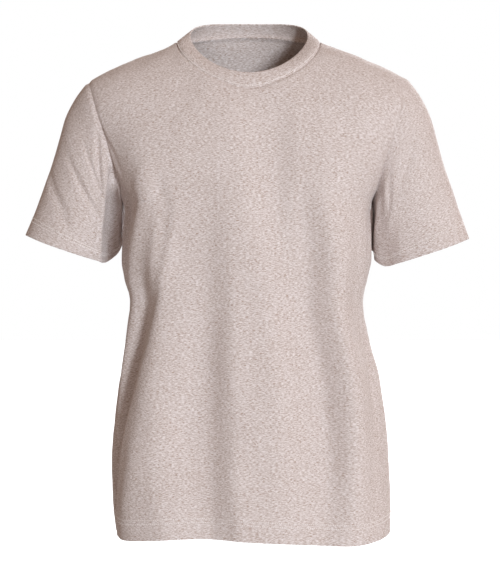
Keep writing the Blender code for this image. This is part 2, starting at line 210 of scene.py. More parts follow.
# %% [markdown]
# ## The cut
# The body is a stack of level rings, the sleeves a fan of slanting sections, the neck band a
# loop of its own. The rings, sections and edges have the sizes that the part is made from, so the
# fine cloth lies on the solid one. A table row gives one ring or section, and smooth curves run
# between. A sculpted figure would do too, but its cloth could not be measured and sewn.

# %% Sizes of the body
RIGHT = -1
LEFT = 1
SHOULDER_TIP_HEIGHT = -0.0665
UNDERARM_HEIGHT = -0.236
NECK_HALF_WIDTH = 0.103
NECK_SIDE_HEIGHT = -0.010
NECK_DROP = 0.070
NECK_CURVE = 1.6
NECK_RISE = 0.013
HEM_LINE = np.array([  # degrees round from the front middle, height
    (-180, -0.7060),
    (-130, -0.7070),
    (-95, -0.7035),
    (-78, -0.7060),
    (-57, -0.7110),
    (-22, -0.7065),
    (10, -0.7115),
    (43, -0.7165),
    (62, -0.7110),
    (80, -0.7035),
    (100, -0.7010),
    (140, -0.7050),
    (180, -0.7060),
])
RING_COLUMNS = ("height", "right", "left", "front", "back", "square")
RINGS = np.array([
    (0.020, 0.0780, 0.0780, 0.032, 0.074, 2.10),
    (-0.010, 0.1040, 0.1020, 0.046, 0.082, 2.10),
    (-0.035, 0.1620, 0.1660, 0.064, 0.090, 2.15),
    (-0.0665, 0.2280, 0.2270, 0.081, 0.097, 2.20),
    (-0.080, 0.2410, 0.2410, 0.087, 0.100, 2.25),
    (-0.100, 0.2460, 0.2470, 0.096, 0.104, 2.30),
    (-0.125, 0.2400, 0.2400, 0.105, 0.108, 2.30),
    (-0.150, 0.2260, 0.2250, 0.112, 0.111, 2.35),
    (-0.201, 0.1972, 0.1942, 0.121, 0.112, 2.40),
    (-0.220, 0.1872, 0.1842, 0.123, 0.111, 2.40),
    (-0.236, 0.1785, 0.1755, 0.124, 0.110, 2.40),
    (-0.250, 0.1762, 0.1728, 0.1243, 0.109, 2.40),
    (-0.268, 0.1776, 0.1734, 0.1245, 0.107, 2.40),
    (-0.290, 0.1788, 0.1738, 0.124, 0.105, 2.40),
    (-0.315, 0.1798, 0.1738, 0.1228, 0.102, 2.40),
    (-0.345, 0.1765, 0.1675, 0.121, 0.097, 2.40),
    (-0.378, 0.1690, 0.1610, 0.119, 0.094, 2.40),
    (-0.425, 0.1745, 0.1680, 0.118, 0.093, 2.40),
    (-0.485, 0.1830, 0.1830, 0.118, 0.096, 2.40),
    (-0.540, 0.1900, 0.1895, 0.118, 0.102, 2.40),
    (-0.600, 0.1945, 0.1950, 0.1185, 0.108, 2.40),
    (-0.655, 0.1945, 0.1975, 0.119, 0.112, 2.40),
    (-0.715, 0.1905, 0.1990, 0.118, 0.113, 2.40),
])

# %% Sizes of the sleeves and the neck band
SLEEVE_COLUMNS = ("outer", "outer_height", "inner", "inner_height", "front", "back", "hang")
SLEEVE_RIGHT = np.array([
    (0.2280, -0.0665, 0.1785, -0.236, 0.058, 0.060, 0.000),
    (0.2440, -0.0880, 0.1796, -0.246, 0.060, 0.061, 0.003),
    (0.2590, -0.1180, 0.1800, -0.255, 0.060, 0.060, 0.007),
    (0.2685, -0.1500, 0.1801, -0.263, 0.060, 0.058, 0.012),
    (0.2790, -0.1830, 0.1801, -0.271, 0.059, 0.055, 0.017),
    (0.2915, -0.2160, 0.1800, -0.279, 0.058, 0.052, 0.022),
    (0.3040, -0.2500, 0.1800, -0.286, 0.057, 0.050, 0.027),
    (0.3175, -0.2830, 0.1800, -0.293, 0.056, 0.048, 0.032),
])
SLEEVE_LEFT = np.array([
    (0.2270, -0.0665, 0.1755, -0.236, 0.058, 0.060, 0.000),
    (0.2430, -0.0890, 0.1762, -0.246, 0.060, 0.061, 0.003),
    (0.2570, -0.1180, 0.1763, -0.256, 0.060, 0.060, 0.006),
    (0.2660, -0.1500, 0.1760, -0.266, 0.060, 0.058, 0.011),
    (0.2755, -0.1830, 0.1756, -0.275, 0.059, 0.055, 0.015),
    (0.2880, -0.2180, 0.1752, -0.284, 0.058, 0.052, 0.019),
    (0.2995, -0.2520, 0.1748, -0.293, 0.057, 0.050, 0.024),
    (0.3125, -0.2880, 0.1745, -0.302, 0.056, 0.048, 0.028),
])
SLEEVE_CREST = 0.62
SLEEVE_OUTER_ROUND = 2.0
SLEEVE_INNER_ROUND = {RIGHT: 2.6, LEFT: 3.2}
SLEEVE_LEAN = 0.040
SLEEVE_BACK_HANG = 0.30
SLEEVE_HANG = np.array([  # share of the way from the outermost to the innermost point, share of the hang
    (0.00, 0.00),
    (0.20, 0.30),
    (0.50, 0.65),
    (0.72, 0.88),
    (0.86, 1.00),
    (0.94, 0.62),
    (1.00, 0.00),
])
BAND_HALF_WIDTH = 0.084
BAND_DEPTH = 0.076
BAND_MIDDLE = -0.002
BAND_FRONT_HEIGHT = -0.059
BAND_BACK_HEIGHT = 0.022
RING_SIDE = {RIGHT: "right", LEFT: "left"}
FACING = {"front": -1, "back": 1}
print("rings", len(RINGS), "sleeve sections", len(SLEEVE_RIGHT), len(SLEEVE_LEFT))

# %% [markdown]
# A table needs a curve through its rows. A plain spline would swing past the rows where they
# turn, and the shirt would bulge; this one never passes the values it joins.

# %% Curve through a table
def curve(keys, values, at):
    """Smooth curve through a table's rows that never overshoots them."""
    order = np.argsort(keys)
    keys = np.asarray(keys, float)[order]
    values = np.asarray(values, float)[order]
    steps = np.diff(keys)
    slopes = np.diff(values) / steps
    same_way = slopes[:-1] * slopes[1:] > 0
    total = np.where(same_way, slopes[:-1] + slopes[1:], 1.0)
    inner = np.where(same_way, 2 * slopes[:-1] * slopes[1:] / total, 0.0)
    tangents = np.concatenate(([slopes[0]], inner, [slopes[-1]]))
    at = np.clip(at, keys[0], keys[-1])
    row = np.clip(np.searchsorted(keys, at) - 1, 0, len(steps) - 1)
    h = steps[row]
    t = (at - keys[row]) / h
    ends = (2 * t ** 3 - 3 * t ** 2 + 1) * values[row] + (3 * t ** 2 - 2 * t ** 3) * values[row + 1]
    bends = (t ** 3 - 2 * t ** 2 + t) * tangents[row] + (t ** 3 - t ** 2) * tangents[row + 1]
    return ends + h * bends


def ring(name, height):
    """One size of the level ring at a height."""
    return curve(RINGS[:, 0], RINGS[:, RING_COLUMNS.index(name)], height)


def ease(share):
    """0 to 1, level at both ends."""
    return share * share * (3 - 2 * share)


print("chest from front to back", ring("front", UNDERARM_HEIGHT) + ring("back", UNDERARM_HEIGHT))


# %% Points of the body cloth
def on_body(face, side, x, height):
    """Points of the body cloth at distances x from the middle."""
    square = ring("square", height)
    share = np.clip(np.abs(x) / ring(RING_SIDE[side], height), 0, 1)
    y = FACING[face] * ring(face, height) * (1 - share ** square) ** (1 / square)
    return np.stack(np.broadcast_arrays(side * x, y, height), axis=-1)


def hem_height(angle):
    """Height of the hem's edge round the body, lowest at the wearer's front left."""
    return curve(HEM_LINE[:, 0], HEM_LINE[:, 1], np.degrees(angle))


def neck_height(face, x):
    """Height of the neckline seam over its distance from the middle."""
    share = np.clip(np.abs(x) / NECK_HALF_WIDTH, 0, 1)
    if face == "front":
        return NECK_SIDE_HEIGHT - NECK_DROP * (1 - share ** NECK_CURVE) ** (1 / NECK_CURVE)
    return NECK_SIDE_HEIGHT + NECK_RISE * (1 - share ** 2)


print("front middle from", neck_height("front", 0.0), "down to", round(float(hem_height(0.0)), 4))

# %% [markdown]
# ## Panels as grids
# Each half of the front or back is one grid from the middle to the side. Above the underarm the
# grid is blended between four edges: neckline and shoulder seam, armhole, chest line and middle
# (a Coons patch). Below it every row is a ring. Grids are easy to crease, to measure and to sew,
# because neighbours share the same edge points. Extra columns lie close to the seams, where the
# cloth dips into the stitching.

# %% Rows and columns of a panel
NECK_STEPS = 32
SHOULDER_STEPS = 38
ARMHOLE_STEPS = 52
SIDE_STEPS = 118
CLOSE_COLUMNS = 3
CLOSE_SHARE = 0.022
# Heights of the lowest rows above the edge, close together at the stitching.
HEM_ROWS = np.array([0.0330, 0.0305, 0.0290, 0.0280, 0.0270, 0.0250, 0.0235, 0.0225, 0.0215, 0.0195,
                     0.0150, 0.0100, 0.0050, 0.0020, 0.0])
print("columns in half a panel", NECK_STEPS + SHOULDER_STEPS + 1)


# %% Edges of half a panel
def seam_spaced(start, stop, steps):
    """Even steps that close up over the last few, next to a seam."""
    wide = np.linspace(0, 1 - CLOSE_SHARE, steps - CLOSE_COLUMNS + 1)
    close = 1 - CLOSE_SHARE * (1 - np.linspace(0, 1, CLOSE_COLUMNS + 1)[1:])
    return start + (stop - start) * np.append(wide, close)


def top_edge(side):
    """Distances and heights of the columns along neckline and shoulder seam."""
    turn = np.linspace(0, math.pi / 2, NECK_STEPS + 1)
    neck_end = float(ring(RING_SIDE[side], NECK_SIDE_HEIGHT))
    neck_x = neck_end * np.sin(turn)
    seam_z = seam_spaced(NECK_SIDE_HEIGHT, SHOULDER_TIP_HEIGHT, SHOULDER_STEPS)[1:]
    return neck_x, neck_x * NECK_HALF_WIDTH / neck_end, ring(RING_SIDE[side], seam_z), seam_z


def across_ring(side, height, turn):
    """Distances from the middle at turns round a quarter of a ring."""
    square = ring("square", height)
    reach = (np.sin(turn) ** square + np.cos(turn) ** square) ** (-1 / square)
    return ring(RING_SIDE[side], height) * reach * np.sin(turn)


def armhole_fall():
    """Shares of the way down the armhole, closer at its two ends."""
    return (1 - np.cos(np.linspace(0, math.pi, ARMHOLE_STEPS + 1))) / 2


# %% Half a panel
def half_panel(face, side):
    """Distance and height of half a body panel, middle to side and top to hem."""
    neck_x, level_x, seam_x, seam_z = top_edge(side)
    top = np.stack((np.append(neck_x, seam_x), np.append(neck_height(face, level_x), seam_z)), axis=-1)
    fall = armhole_fall()
    tip = float(ring(RING_SIDE[side], SHOULDER_TIP_HEIGHT))
    underarm = float(ring(RING_SIDE[side], UNDERARM_HEIGHT))
    outer = np.stack((tip + (underarm - tip) * fall,
                      SHOULDER_TIP_HEIGHT + (UNDERARM_HEIGHT - SHOULDER_TIP_HEIGHT) * fall), axis=-1)
    turn = seam_spaced(0, math.pi / 2, len(top) - 1)
    chest_x = across_ring(side, UNDERARM_HEIGHT, turn)
    chest = np.stack((chest_x, np.full(len(top), UNDERARM_HEIGHT)), axis=-1)
    middle = np.stack((np.zeros(len(fall)), top[0, 1] + (UNDERARM_HEIGHT - top[0, 1]) * fall), axis=-1)
    u = seam_spaced(0, 1, len(top) - 1)[None, :, None]
    v = fall[:, None, None]
    yoke = ((1 - v) * top[None] + v * chest[None] + (1 - u) * middle[:, None] + u * outer[:, None]
            - (1 - v) * ((1 - u) * top[0] + u * top[-1]) - v * ((1 - u) * chest[0] + u * chest[-1]))
    low = hem_height(side * turn if face == "front" else side * (math.pi - turn))
    skirt = []
    for share in np.linspace(0, 1, SIDE_STEPS + 1)[1:-1]:
        height = UNDERARM_HEIGHT + (low + HEM_ROWS[0] - UNDERARM_HEIGHT) * share
        skirt.append(np.stack((across_ring(side, height, turn), height), axis=-1))
    for above in HEM_ROWS:
        skirt.append(np.stack((across_ring(side, low + above, turn), low + above), axis=-1))
    return np.concatenate((yoke, np.array(skirt)))


# %% [markdown]
# ## Folds and creases
# Cloth over a body breaks into long soft troughs that run down from the chest and in from the
# underarms. A cloth simulation would find folds of its own; these have to lie where they do. So
# each is placed as one row: where it starts and ends, how much it bows, how wide its flank is
# toward lower and toward higher turns, and how far it stands out. A ridge with one narrow flank
# looks pressed to an edge. Rises below zero are troughs. No two rows are alike.

# %% Folds of the body
# Turns are degrees round from the front middle toward the wearer's left, starts and ends heights.
FOLD_COLUMNS = ("start_turn", "start", "end_turn", "end", "bow", "low_flank", "high_flank", "rise")
BODY_FOLDS = np.array([
    # the turn of the wearer's right flank: a broad trough behind a lit edge
    (-43, -0.240, -68, -0.780, 11, 0.018, 0.030, 0.0085),
    (-47, -0.235, -97, -0.785, 1, 0.015, 0.023, -0.0220),
    # the two long troughs of the front, the wearer's left one under a ridge
    (-19, -0.170, -6, -1.000, -6, 0.034, 0.019, -0.0175),
    (14, -0.150, 25, -0.800, 13, 0.032, 0.018, -0.0200),
    (33, -0.150, 41, -0.780, 9, 0.019, 0.020, 0.0125),
    (6, -0.070, 14, -0.360, 1, 0.022, 0.014, -0.0085),
    (84, -0.380, 78, -0.760, 0, 0.022, 0.022, 0.0035),
    # the long folds of the back
    (126, -0.260, 142, -0.800, 4, 0.026, 0.020, -0.0150),
    (-122, -0.240, -146, -0.800, -4, 0.020, 0.026, -0.0145),
    (172, -0.200, 178, -0.560, 0, 0.036, 0.028, -0.0100),
    # creases beside the wearer's right armhole and down that side
    (-41, -0.120, -64, -0.420, 2, 0.018, 0.034, 0.0082),
    (-66, -0.140, -84, -0.400, 3, 0.012, 0.014, -0.0060),
    (-39, -0.185, -57, -0.430, 8, 0.007, 0.006, -0.0030),
    (-61, -0.120, -60, -0.215, 2, 0.006, 0.005, -0.0025),
    (-36, -0.165, -60, -0.345, -4, 0.011, 0.014, 0.0060),
    (-83, -0.330, -88, -0.730, 0, 0.012, 0.010, -0.0030),
    # small breaks on the wearer's left side
    (70, -0.240, 66, -0.345, 2, 0.009, 0.009, -0.0020),
    (82, -0.350, 64, -0.570, -6, 0.008, 0.012, -0.0050),
    (-30, -0.430, -34, -0.810, -2, 0.018, 0.016, 0.0020),
    # short creases that the hem's stitching draws at the foot of the front trough
    (-9, -0.640, -9, -0.790, 0, 0.005, 0.005, -0.0012),
    (-15, -0.660, -16, -0.780, 0, 0.005, 0.005, -0.0010),
])
print("folds on the body", len(BODY_FOLDS))


# %% How folds push the cloth out
def soft_bump(across, width):
    """A rounded rise that ends exactly at twice its width."""
    share = np.clip(np.abs(across) / (2 * width), 0, 1)
    return np.cos(share * math.pi / 2) ** 2


def fold_push(rows, turn, along, per_degree):
    """How far the folds of a table push cloth out, at turns and places along it."""
    push = np.zeros(np.broadcast(turn, along).shape)
    for row in rows:
        fold = dict(zip(FOLD_COLUMNS, row))
        share = (along - fold["start"]) / (fold["end"] - fold["start"])
        line = fold["start_turn"] + (fold["end_turn"] - fold["start_turn"]) * share
        line = line + fold["bow"] * 4 * share * (1 - share)
        aside = (turn - line + 180) % 360 - 180
        flank = np.where(aside < 0, fold["low_flank"], fold["high_flank"])
        length = np.where((share > 0) & (share < 1), np.sin(math.pi * np.clip(share, 0, 1)), 0)
        push += fold["rise"] * soft_bump(aside * per_degree, flank) * length
    return push


def body_push(points):
    """How far the folds push each body point out."""
    height = points[..., 2]
    half = np.where(points[..., 0] < 0, ring("right", height), ring("left", height))
    reach = np.where(points[..., 1] < 0, ring("front", height), ring("back", height))
    turn = np.degrees(np.arctan2(points[..., 0] / half, -points[..., 1] / reach))
    return fold_push(BODY_FOLDS, turn, height, math.radians(1) * (half + reach) / 2)


# %% Body panels
def unit(vectors):
    """The same directions at length 1."""
    return vectors / np.maximum(np.linalg.norm(vectors, axis=-1, keepdims=True), 1e-12)


def grid_normals(points, closed=False):
    """Outward directions of a grid whose rows run down and whose columns run round."""
    down = np.gradient(points, axis=0)
    if closed:
        along = np.roll(points, -1, axis=1) - np.roll(points, 1, axis=1)
    else:
        along = np.gradient(points, axis=1)
    return unit(np.cross(down, along))


def body_panel(face):
    """A whole front or back, its columns running anticlockwise from above."""
    halves = {}
    for side in (RIGHT, LEFT):
        outline = half_panel(face, side)
        halves[side] = on_body(face, side, outline[..., 0], outline[..., 1])
    first, second = (RIGHT, LEFT) if face == "front" else (LEFT, RIGHT)
    points = np.concatenate((halves[first][:, :0:-1], halves[second]), axis=1)
    return points + grid_normals(points) * body_push(points)[..., None]


smooth = {face: body_panel(face) for face in FACING}
print("body grids", {face: grid.shape[:2] for face, grid in smooth.items()})

# %% [markdown]
# ## Seams and small unevenness
# A sewn seam is a little shorter than the cloth beside it and holds it down. So each panel dips
# into a narrow valley along its edges, and puckers a little there. The rest of a worn jersey is
# never quite flat either: broad, shallow swells run through it, a fraction of a millimetre deep.

# %% Unevenness and seam valleys
CELLS = 64
VALLEYS = {  # depth and width of the dip along each kind of seam
    "neckline": (0.0019, 0.0030),
    "shoulder": (0.0008, 0.0035),
    "side": (0.0007, 0.0030),
    "armhole_right": (0.0017, 0.0034),
    "armhole_left": (0.0008, 0.0026),
}
PUCKER = 0.00035
PUCKER_REACH = 0.010
PUCKER_PITCH = 0.011
SWELLS = (  # height, width, length, first seed
    (0.0020, 0.075, 0.120, 11),
    (0.0009, 0.034, 0.060, 12),
    (0.00028, 0.014, 0.022, 13),
)
SWELL_START = 2.0


def soft_noise(seed, across, down):
    """Smooth uneven values from -1 to 1, about one swell to each unit of either distance."""
    cells = np.random.default_rng(seed).uniform(-1, 1, (CELLS, CELLS))
    column, row = np.floor(across).astype(int), np.floor(down).astype(int)
    s, t = ease(across - column), ease(down - row)
    near, far = column % CELLS, (column + 1) % CELLS
    top, under = row % CELLS, (row + 1) % CELLS
    return ((cells[near, top] * (1 - s) + cells[far, top] * s) * (1 - t)
            + (cells[near, under] * (1 - s) + cells[far, under] * s) * t)


def run_lengths(points, axis):
    """Distance along the cloth from the first row or column."""
    steps = np.linalg.norm(np.diff(points, axis=axis), axis=-1)
    start = np.zeros_like(np.take(steps, [0], axis=axis))
    return np.concatenate((start, np.cumsum(steps, axis=axis)), axis=axis)


def seam_dip(kind, distance, along, seed):
    """How far a seam draws the cloth in, with its puckers."""
    depth, width = VALLEYS[kind]
    pucker = PUCKER * soft_noise(seed, along / PUCKER_PITCH, 0 * along)
    return -depth * np.exp(-(distance / width) ** 2) + pucker * np.exp(-(distance / PUCKER_REACH) ** 2)


def swell(flat, seed):
    """Broad, shallow unevenness over a flat map, all of it on the positive side of zero."""
    place = flat + SWELL_START
    return sum(height * soft_noise(start + seed, place[..., 0] / wide, place[..., 1] / long)
               for height, wide, long, start in SWELLS)


print("seam valleys", {kind: round(depth * 1000, 1) for kind, (depth, _) in VALLEYS.items()}, "mm")


# %% Draw the panels in along their seams
PANEL_SEED = {"front": 20, "back": 40}


def flat_map(points, level_row, middle_column):
    """Where each point lies on the flat cloth: metres across and up."""
    across = run_lengths(points, axis=1)
    down = run_lengths(points, axis=0)
    return np.stack((across - across[:, [middle_column]], down[[level_row]] - down), axis=-1)


def sew_panel(face, points):
    """The panel with its swells, drawn in along every seam."""
    flat = flat_map(points, ARMHOLE_STEPS, points.shape[1] // 2)
    across, down = run_lengths(points, axis=1), run_lengths(points, axis=0)
    first, second = ("right", "left") if face == "front" else ("left", "right")
    seed = PANEL_SEED[face]
    push = swell(flat, seed)
    sides = ((first, across), (second, across[:, [-1]] - across))
    for number, (side, distance) in enumerate(sides):
        armhole = seam_dip("armhole_" + side, distance, down, seed + number)
        flank = seam_dip("side", distance, down, seed + 2 + number)
        push += np.where(np.arange(len(points))[:, None] <= ARMHOLE_STEPS, armhole, flank)
    column = np.abs(np.arange(points.shape[1]) - points.shape[1] // 2)
    push += np.where(column > NECK_STEPS, seam_dip("shoulder", down, across, seed + 5),
                     seam_dip("neckline", down, across, seed + 6))
    return points + grid_normals(points) * push[..., None], flat


# %% Sew the shoulders and the sides
def weld(panels):
    """The shoulder and side seams of both panels brought onto the same line."""
    last = panels["front"].shape[1] - 1
    rows = np.arange(len(panels["front"])) >= ARMHOLE_STEPS
    for front_column, back_column in ((0, last), (last, 0)):
        shared = (panels["front"][rows, front_column] + panels["back"][rows, back_column]) / 2
        panels["front"][rows, front_column] = shared
        panels["back"][rows, back_column] = shared
    shoulder = np.arange(SHOULDER_STEPS + 1)
    for columns in (shoulder, last - shoulder):
        shared = (panels["front"][0, columns] + panels["back"][0, last - columns]) / 2
        panels["front"][0, columns] = shared
        panels["back"][0, last - columns] = shared


sewn, flats = {}, {}
for face in FACING:
    sewn[face], flats[face] = sew_panel(face, smooth[face])
weld(smooth)
weld(sewn)
print("flat across", {face: round(float(np.ptp(flat[..., 0])), 3) for face, flat in flats.items()})

# %% [markdown]
# ## Sleeves
# A set-in sleeve starts on the armhole's own points and narrows to a turned cuff. Its folds run
# slantwise from the seam over the front of the arm, and one stands upright along the inner
# front, where the cloth turns in toward the body. The sleeve's own seam lies underneath. A bent
# tube would be simpler, but it would leave a step where it meets the armhole.

# %% Rows, tuck and folds of the sleeves
CUFF_ROWS = np.array([0.0300, 0.0270, 0.0255, 0.0245, 0.0235, 0.0220, 0.0205, 0.0195, 0.0185, 0.0160,
                      0.0110, 0.0060, 0.0025, 0.0])
SLEEVE_STEPS = 58
SLEEVE_SETTLE = 0.25
TUCK_START, TUCK_END = 0.79, 0.90
TUCK = {RIGHT: 0.92, LEFT: 0.16}
SLEEVE_SWELL = 0.8
SLEEVE_SEED = {RIGHT: 59, LEFT: 61}
SLEEVE_SEAM_SEED = {RIGHT: 69, LEFT: 71}
# Turns are degrees: 0 at the outer edge, 90 in front, 180 inside, 270 behind. Starts and ends are
# shares of the way from the armhole to the cuff.
SLEEVE_FOLDS = {
    RIGHT: np.array([
        (78, 0.01, 110, 0.32, 0, 0.007, 0.006, -0.0052),
        (70, 0.23, 118, 0.38, 0, 0.010, 0.010, -0.0032),
        (42, 0.41, 118, 0.60, 0, 0.014, 0.015, -0.0030),
        (14, 0.60, 62, 0.76, 0, 0.012, 0.014, -0.0030),
        (50, 0.66, 84, 0.90, 0, 0.010, 0.010, -0.0018),
        (110, 0.02, 135, 0.66, 2, 0.014, 0.006, 0.0040),
        (119, -0.30, 141, 1.35, 0, 0.007, 0.014, -0.0105),
        (84, 0.50, 92, 1.35, 0, 0.022, 0.024, 0.0018),
        (300, 0.12, 262, 0.85, 5, 0.012, 0.014, -0.0024),
        (330, 0.35, 285, 1.20, -4, 0.014, 0.016, -0.0018),
        (204, -0.15, 202, 1.30, 0, 0.012, 0.016, 0.0065),
    ]),
    LEFT: np.array([
        (112, 0.06, 129, 0.56, 0, 0.006, 0.008, -0.0036),
        (153, 0.03, 153, 1.40, 0, 0.016, 0.004, 0.0065),
        (126, 0.50, 130, 1.30, 0, 0.010, 0.014, -0.0042),
        (62, 0.20, 104, 0.44, 0, 0.012, 0.014, -0.0014),
        (34, 0.40, 66, 1.30, -3, 0.016, 0.018, -0.0014),
        (304, 0.10, 256, 0.80, -4, 0.012, 0.015, -0.0024),
        (322, 0.40, 290, 1.25, 4, 0.013, 0.017, -0.0017),
        (204, -0.15, 202, 1.30, 0, 0.012, 0.016, 0.0065),
    ]),
}
print("folds on the sleeves", {side: len(rows) for side, rows in SLEEVE_FOLDS.items()})


# %% The form of a sleeve
def armhole_loop(side, panels):
    """The armhole from its top, front first on the wearer's right and back first on the left."""
    edges = {"front": panels["front"][:ARMHOLE_STEPS + 1, 0 if side == RIGHT else -1],
             "back": panels["back"][:ARMHOLE_STEPS + 1, -1 if side == RIGHT else 0]}
    first, second = ("front", "back") if side == RIGHT else ("back", "front")
    return np.concatenate((edges[first], edges[second][-2:0:-1]))


def sleeve_stand(side, along):
    """Share of the greatest stand, over the way from the outermost to the innermost point."""
    outside = np.clip((SLEEVE_CREST - along) / SLEEVE_CREST, 0, 1)
    inside = np.clip((along - SLEEVE_CREST) / (1 - SLEEVE_CREST), 0, 1)
    outer_part = (1 - outside ** SLEEVE_OUTER_ROUND) ** (1 / SLEEVE_OUTER_ROUND)
    inner_part = (1 - inside ** SLEEVE_INNER_ROUND[side]) ** (1 / SLEEVE_INNER_ROUND[side])
    return outer_part * inner_part


def sleeve(side, armhole):
    """A sleeve from the armhole's own points to the cuff, columns round the arm."""
    table = SLEEVE_RIGHT if side == RIGHT else SLEEVE_LEFT
    length = float(np.hypot(*(table[-1, :2] - table[0, :2])))
    cuff = 1 - CUFF_ROWS / length
    shares = np.concatenate((np.linspace(0, cuff[0], SLEEVE_STEPS + 1)[1:-1], cuff))
    turn = np.linspace(0, 2 * math.pi, 2 * ARMHOLE_STEPS, endpoint=False)
    facing = np.sign(np.sin(turn).round(9)) * side
    along = (1 - np.cos(turn)) / 2
    droop = curve(SLEEVE_HANG[:, 0], SLEEVE_HANG[:, 1], along)
    droop = np.where(facing < 0, droop, SLEEVE_BACK_HANG * droop)
    tuck = ease(np.clip((along - TUCK_START) / (TUCK_END - TUCK_START), 0, 1))
    tuck = np.where(facing < 0, 1 - TUCK[side] * tuck, 1.0)
    rows = [armhole]
    for share in shares:
        size = {name: float(curve(np.linspace(0, 1, len(table)), column, share))
                for name, column in zip(SLEEVE_COLUMNS, table.T)}
        settle = ease(min(1.0, share / SLEEVE_SETTLE))
        x = size["outer"] + (size["inner"] - size["outer"]) * along
        z = size["outer_height"] + (size["inner_height"] - size["outer_height"]) * along
        stand = np.where(facing < 0, size["front"], size["back"]) * sleeve_stand(side, along) * tuck
        y = facing * stand + SLEEVE_LEAN * share * along ** 2
        y = (1 - settle) * armhole[:, 1] + settle * y
        z = z - size["hang"] * droop
        rows.append(np.stack((side * x, y, z), axis=-1))
    return np.array(rows), np.concatenate(([0.0], shares)), np.degrees(turn)


# %% Sew the sleeves in
def cut_open(columns):
    """Order of a loop's columns, cut open half way round."""
    half = columns // 2
    return np.append(np.arange(half, columns), np.arange(half + 1))


def sleeve_push(side, points, shares, turn):
    """How far the folds push each sleeve point out."""
    turn = turn if side == RIGHT else (360 - turn) % 360
    around = np.linalg.norm(points - np.roll(points, 1, axis=1), axis=-1).sum(axis=1)
    return fold_push(SLEEVE_FOLDS[side], turn[None], shares[:, None], around[:, None] / 360)


def sew_sleeve(side):
    """A sleeve with its folds, drawn in where it meets the armhole and along its own seam."""
    plain, shares, turn = sleeve(side, armhole_loop(side, smooth))
    pull = armhole_loop(side, sewn) - plain[0]
    width = VALLEYS["armhole_" + RING_SIDE[side]][1]
    order = cut_open(len(turn))
    opened = plain[:, order]
    length = run_lengths(plain, axis=0)[:, order]
    flat = flat_map(opened, len(opened) - 1, len(turn) // 2)
    edge = run_lengths(opened, axis=1)
    uneven = swell(flat, SLEEVE_SEED[side]) * SLEEVE_SWELL
    for distance in (edge, edge[:, [-1]] - edge):
        uneven += seam_dip("side", distance, length, SLEEVE_SEAM_SEED[side])
    free = 1 - np.exp(-(length / width) ** 2)
    push = (sleeve_push(side, plain, shares, turn)[:, order] + uneven) * free
    normals = grid_normals(plain, closed=True)[:, order]
    points = opened + normals * push[..., None] + pull[None, order] * (1 - free)[..., None]
    points[:, -1] = points[:, 0]
    return points, flat


sleeves, sleeve_flats = {}, {}
for side in (RIGHT, LEFT):
    sleeves[side], sleeve_flats[side] = sew_sleeve(side)
print("sleeve grids", {side: grid.shape[:2] for side, grid in sleeves.items()})

# %% [markdown]
# ## The neck band
# A folded strip of fine rib, cut shorter than the neckline and stretched on, so it stands up and
# hugs the neck. A bent tube would look like piping, so it is a grid as well, from the neckline's
# own points in to its free folded edge.

# %% Neck band
BAND_CROWN = 0.0012
BAND_PULL_SHARE = 0.12
BAND_ROWS = np.array([0, 0.06, 0.15, 0.27, 0.40, 0.53, 0.66, 0.78, 0.88, 0.95, 1.0])


def neckline_loop(panels):
    """The neckline from the front middle past the wearer's left, over the back and round."""
    middle = panels["front"].shape[1] // 2
    across = slice(middle - NECK_STEPS, middle + NECK_STEPS + 1)
    front, back = panels["front"][0, across], panels["back"][0, across]
    return np.concatenate((front[NECK_STEPS:], back[1:], front[1:NECK_STEPS]))


def band(seam, pull):
    """The band's outside, from the free edge out to the neckline seam."""
    quarter = np.linspace(0, math.pi / 2, NECK_STEPS + 1)
    turn = np.concatenate((quarter, math.pi - quarter[-2::-1]))
    turn = np.concatenate((turn, 2 * math.pi - turn[-2:0:-1]))
    swing = (BAND_BACK_HEIGHT - BAND_FRONT_HEIGHT) / 2
    twist = (BAND_BACK_HEIGHT + BAND_FRONT_HEIGHT) / 4
    edge = np.stack((BAND_HALF_WIDTH * np.sin(turn), BAND_MIDDLE - BAND_DEPTH * np.cos(turn),
                     twist - swing * np.cos(turn) + twist * np.cos(2 * turn)), axis=-1)
    outward = unit(np.cross(np.roll(seam, -1, axis=0) - np.roll(seam, 1, axis=0), edge - seam))
    share = BAND_ROWS[:, None, None]
    points = edge + (seam - edge) * share + outward * BAND_CROWN * 4 * share * (1 - share)
    return points + pull * np.exp(-((1 - share) / BAND_PULL_SHARE) ** 2)


plain_neck = neckline_loop(smooth)
collar_loop = band(plain_neck, neckline_loop(sewn) - plain_neck)
collar_order = cut_open(collar_loop.shape[1])
collar_normals = grid_normals(collar_loop, closed=True)[:, collar_order]
collar_grid = collar_loop[:, collar_order]
collar_flat = flat_map(collar_grid, len(collar_grid) - 1, collar_loop.shape[1] // 2)
print("neck band grid", collar_grid.shape[:2])

# %% [markdown]
# ## From grids to cloth
# Each grid becomes a thin closed shell: the outside, the same grid moved in by the cloth's
# thickness, and a rim between them. A modifier could thicken it, but not by more at the hem. Free
# edges, at the hem, the cuffs and the band's fold, get a rounded rim, as folded cloth has.

# %% Thickness of the cloth
CLOTH = 0.0010
HEM_CLOTH = 0.0019
BAND_CLOTH = 0.0020
RIM_ROWS = 2
SHARP_ANGLE = 70


def cloth_walls(rows, hem_rows):
    """Thickness of each row, thicker in the turned hem."""
    walls = np.full(rows, CLOTH)
    walls[-hem_rows:] = HEM_CLOTH
    walls[-hem_rows - 1] = (CLOTH + HEM_CLOTH) / 2
    return walls


print("thickness", CLOTH, "hem", HEM_CLOTH, "band", BAND_CLOTH)


